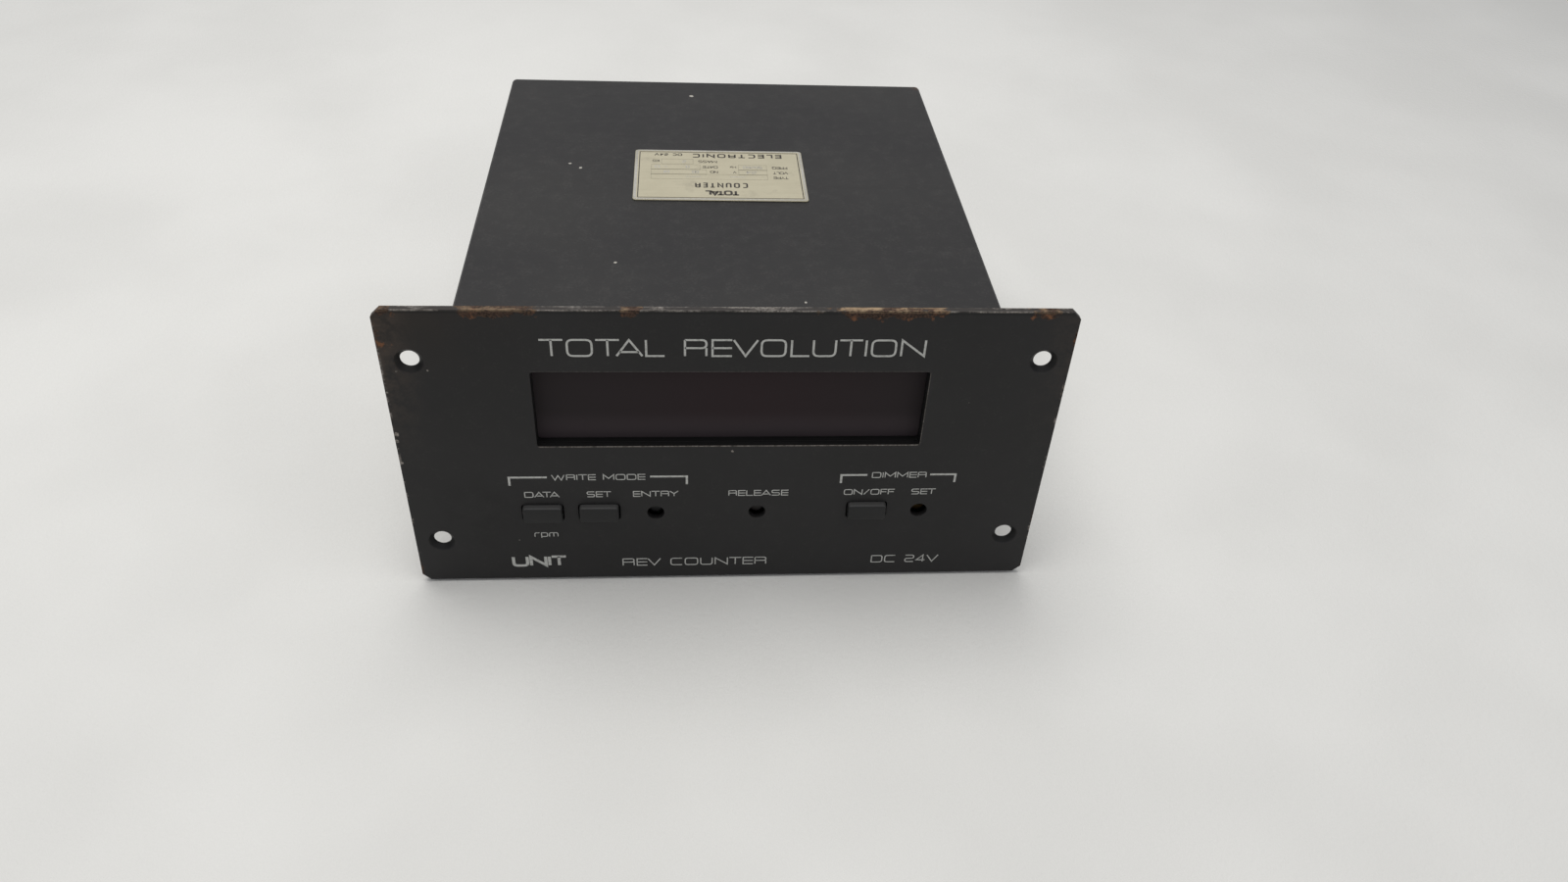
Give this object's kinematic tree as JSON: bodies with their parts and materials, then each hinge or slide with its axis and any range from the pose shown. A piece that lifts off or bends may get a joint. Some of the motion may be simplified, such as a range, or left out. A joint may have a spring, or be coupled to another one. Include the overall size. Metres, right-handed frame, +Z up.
{
  "type": "panel-mount revolution counter",
  "caption": "Panel-mounted electronic revolution counter: black steel front panel with a red display window, push buttons and access holes, on a deep rectangular sheet-steel case.",
  "frame": {"origin": "under the middle of the bounding box, on the plane of the front panel's lower edge", "axes": "+X to the right as the front panel is read, +Y from the front panel towards the rear terminals, +Z up"},
  "size_m": [0.2, 0.1934, 0.1056],
  "materials": {
    "panel_black": "satin black stove enamel, worn at the edges",
    "case_black": "satin black enamel",
    "zinc_plate": "zinc-plated steel sheet",
    "frame_black": "matt black moulding",
    "filter_red": "very dark red acrylic, glossy",
    "button_black": "satin black moulding",
    "switch_grey": "dark grey moulding",
    "release_red": "dark red moulding",
    "trimmer_blue": "blue moulding",
    "brass": "turned brass",
    "board_green": "green solder mask on glass-epoxy board",
    "digit_grey": "dark grey digit face",
    "screw_steel": "zinc-plated steel",
    "terminal_black": "black phenolic moulding",
    "plate_metal": "etched champagne aluminium",
    "chip_black": "black epoxy",
    "can_steel": "tinned steel can",
    "battery_green": "green heat-shrink sleeve",
    "sleeve_blue": "dark blue sleeve",
    "fin_black": "black anodised extrusion",
    "ribbon_grey": "grey PVC flat cable",
    "loom_black": "black PVC sleeve",
    "fuse_glass": "clear glass tube with plated ends"
  },
  "bodies": {
    "counter": {"backup_battery": "battery_green", "case_cover": "case_black", "chassis_tray": "zinc_plate", "cover_screw_1": "screw_steel", "cover_screw_2": "screw_steel", "cover_screw_3": "screw_steel", "cover_screw_4": "screw_steel", "data_switch": "switch_grey", "dimmer_switch": "switch_grey", "dimmer_trimmer": "trimmer_blue", "display_board": "board_green", "display_nut_1": "screw_steel", "display_nut_2": "screw_steel", "display_nut_3": "screw_steel", "display_nut_4": "screw_steel", "display_spacer_1": "brass", "display_spacer_2": "brass", "display_spacer_3": "brass", "display_spacer_4": "brass", "earth_screw": "brass", "entry_switch": "switch_grey", "front_panel": "panel_black", "fuse_holder": "terminal_black", "heat_sink": "fin_black", "led_digits_1": "digit_grey", "led_digits_2": "digit_grey", "main_board": "board_green", "memory_chip": "chip_black", "nameplate": "plate_metal", "power_converter": "can_steel", "processor_chip": "chip_black", "rear_panel": "case_black", "rear_screw_1": "screw_steel", "rear_screw_2": "screw_steel", "rear_screw_3": "screw_steel", "rear_screw_4": "screw_steel", "release_switch": "switch_grey", "ribbon_cable": "ribbon_grey", "ribbon_plug_lower": "chip_black", "ribbon_plug_upper": "chip_black", "set_switch": "switch_grey", "smoothing_capacitor": "sleeve_blue", "terminal_block": "terminal_black", "terminal_loom": "loom_black", "terminal_screw_1": "screw_steel", "terminal_screw_2": "screw_steel", "terminal_screw_3": "screw_steel", "terminal_screw_4": "screw_steel", "terminal_screw_5": "screw_steel", "terminal_screw_6": "screw_steel", "window_filter": "filter_red", "window_frame": "frame_black"},
    "data_button": {"data_button": "button_black"},
    "set_button": {"set_button": "button_black"},
    "dimmer_button": {"dimmer_button": "button_black"},
    "entry_plunger": {"entry_plunger": "button_black"},
    "release_plunger": {"release_plunger": "release_red"},
    "trimmer_rotor": {"trimmer_rotor": "brass"},
    "fuse": {"fuse": "fuse_glass"},
    "fuse_cap": {"fuse_cap": "terminal_black"}
  },
  "joints": [
    {"name": "data_press", "type": "slide", "parent": "counter", "child": "data_button", "axis": [0, 1, 0], "range_m": [0, 0.0015], "stiffness_N_per_m": 400, "springref_m": -0.0005},
    {"name": "set_press", "type": "slide", "parent": "counter", "child": "set_button", "axis": [0, 1, 0], "range_m": [0, 0.0015], "stiffness_N_per_m": 400, "springref_m": -0.0005},
    {"name": "dimmer_press", "type": "slide", "parent": "counter", "child": "dimmer_button", "axis": [0, 1, 0], "range_m": [0, 0.0015], "stiffness_N_per_m": 400, "springref_m": -0.0005},
    {"name": "entry_press", "type": "slide", "parent": "counter", "child": "entry_plunger", "axis": [0, 1, 0], "range_m": [0, 0.001], "stiffness_N_per_m": 400, "springref_m": -0.0005},
    {"name": "release_press", "type": "slide", "parent": "counter", "child": "release_plunger", "axis": [0, 1, 0], "range_m": [0, 0.001], "stiffness_N_per_m": 400, "springref_m": -0.0005},
    {"name": "dimmer_trim", "type": "hinge", "parent": "counter", "child": "trimmer_rotor", "pos_m": [0.0615, -0.0865, 0.0289], "axis": [0, -1, 0], "range_deg": [-135, 135]},
    {"name": "fuse_pull", "type": "slide", "parent": "counter", "child": "fuse", "axis": [0, 1, 0], "range_m": [0, 0.03]},
    {"name": "fuse_cap_turn", "type": "hinge", "parent": "fuse", "child": "fuse_cap", "pos_m": [0.05, 0.0892, 0.036], "axis": [0, 1, 0], "range_deg": [0, 75]}
  ]
}
